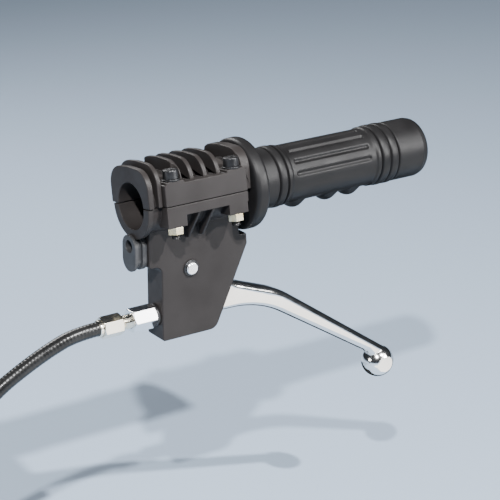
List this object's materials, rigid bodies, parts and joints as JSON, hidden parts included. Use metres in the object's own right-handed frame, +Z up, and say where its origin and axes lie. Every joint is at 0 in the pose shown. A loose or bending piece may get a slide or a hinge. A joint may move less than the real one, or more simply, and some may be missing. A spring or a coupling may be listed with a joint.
{
  "type": "hand brake lever",
  "caption": "Cable-operated hand brake lever: finned two-piece handlebar clamp, flat pivot housing, ball-ended lever, rubber grip, screw cable adjuster and sheathed cable.",
  "frame": {"origin": "on the handlebar's axis, in the middle of the clamp's bolted flange", "axes": "+X along the handlebar towards the grip's free end, +Z up, away from the lever, -Y towards the side where the lever is seen with its clamp on top and its grip to the right"},
  "size_m": [0.3957, 0.0559, 0.244],
  "materials": {
    "black_plastic": "satin moulded",
    "polished_aluminium": "polished",
    "bronze": "turned",
    "bright_steel": "turned",
    "black_steel": "black oxide",
    "black_nylon": "satin",
    "chrome": "mirror",
    "nickel": "bright nickel",
    "wire_steel": "stranded",
    "black_rubber": "satin",
    "grip_rubber": "satin",
    "cable_jacket": "ribbed",
    "zinc": "yellow zinc"
  },
  "bodies": {
    "housing": {"clamp_cap": "black_plastic", "lever_housing": "black_plastic", "pivot_pin": "bright_steel", "pivot_clip_front": "black_steel", "pivot_clip_back": "black_steel", "side_grommet": "black_rubber", "grip": "grip_rubber", "brake_cable": "cable_jacket", "cable_coil": "cable_jacket", "cable_tail": "cable_jacket", "cable_tie_1": "black_nylon", "cable_tie_2": "black_nylon", "end_ferrule": "nickel", "clamp_bolt_1": "black_steel", "clamp_bolt_2": "black_steel", "clamp_bolt_3": "black_steel", "clamp_bolt_4": "black_steel", "clamp_washer_1": "black_steel", "clamp_washer_2": "black_steel", "clamp_washer_3": "black_steel", "clamp_washer_4": "black_steel", "clamp_nut_1": "zinc", "clamp_nut_2": "zinc", "clamp_nut_3": "zinc", "clamp_nut_4": "zinc"},
    "far_wire": {"end_wire": "wire_steel", "end_nipple": "bronze"},
    "lever": {"lever": "polished_aluminium", "lever_bush": "bronze"},
    "cable_pull": {"cable_nipple": "bronze", "inner_wire": "wire_steel"},
    "sleeve_seat": {"adjuster_washer": "black_nylon"},
    "sleeve": {"adjuster_sleeve_nut": "chrome"},
    "ferrule": {"cable_ferrule": "nickel"},
    "barrel": {"adjuster_barrel": "nickel"}
  },
  "joints": [
    {"name": "lever_pivot", "type": "hinge", "parent": "housing", "child": "lever", "pos_m": [-0.0025, 0, -0.039], "axis": [0, -1, 0], "range_deg": [0, 28]},
    {"name": "nipple_swivel", "type": "hinge", "parent": "lever", "child": "cable_pull", "pos_m": [-0.0087, 0, -0.065], "axis": [0, -1, 0], "range_deg": [-28.1, 0]},
    {"name": "wire_pull", "type": "slide", "parent": "housing", "child": "far_wire", "axis": [0, 0, 1], "range_m": [0, 0.0131]},
    {"name": "sleeve_travel", "type": "slide", "parent": "housing", "child": "sleeve_seat", "axis": [-1, 0, 0], "range_m": [0, 0.0026]},
    {"name": "sleeve_turn", "type": "hinge", "parent": "sleeve_seat", "child": "sleeve", "pos_m": [-0.0295, 0, -0.065], "axis": [-1, 0, 0], "range_deg": [0, 900]},
    {"name": "barrel_travel", "type": "slide", "parent": "housing", "child": "ferrule", "axis": [1, 0, 0], "range_m": [0, 0.0021]},
    {"name": "barrel_turn", "type": "hinge", "parent": "ferrule", "child": "barrel", "pos_m": [-0.0489, 0, -0.065], "axis": [1, 0, 0], "range_deg": [0, 720]}
  ],
  "couplings": [
    {"joint": "nipple_swivel", "follows": "lever_pivot", "ratio": -1},
    {"joint": "wire_pull", "follows": "lever_pivot", "m_per_rad": 0.0264},
    {"joint": "sleeve_travel", "follows": "sleeve_turn", "m_per_rad": 0.00015915},
    {"joint": "barrel_travel", "follows": "barrel_turn", "m_per_rad": 0.00015915}
  ]
}
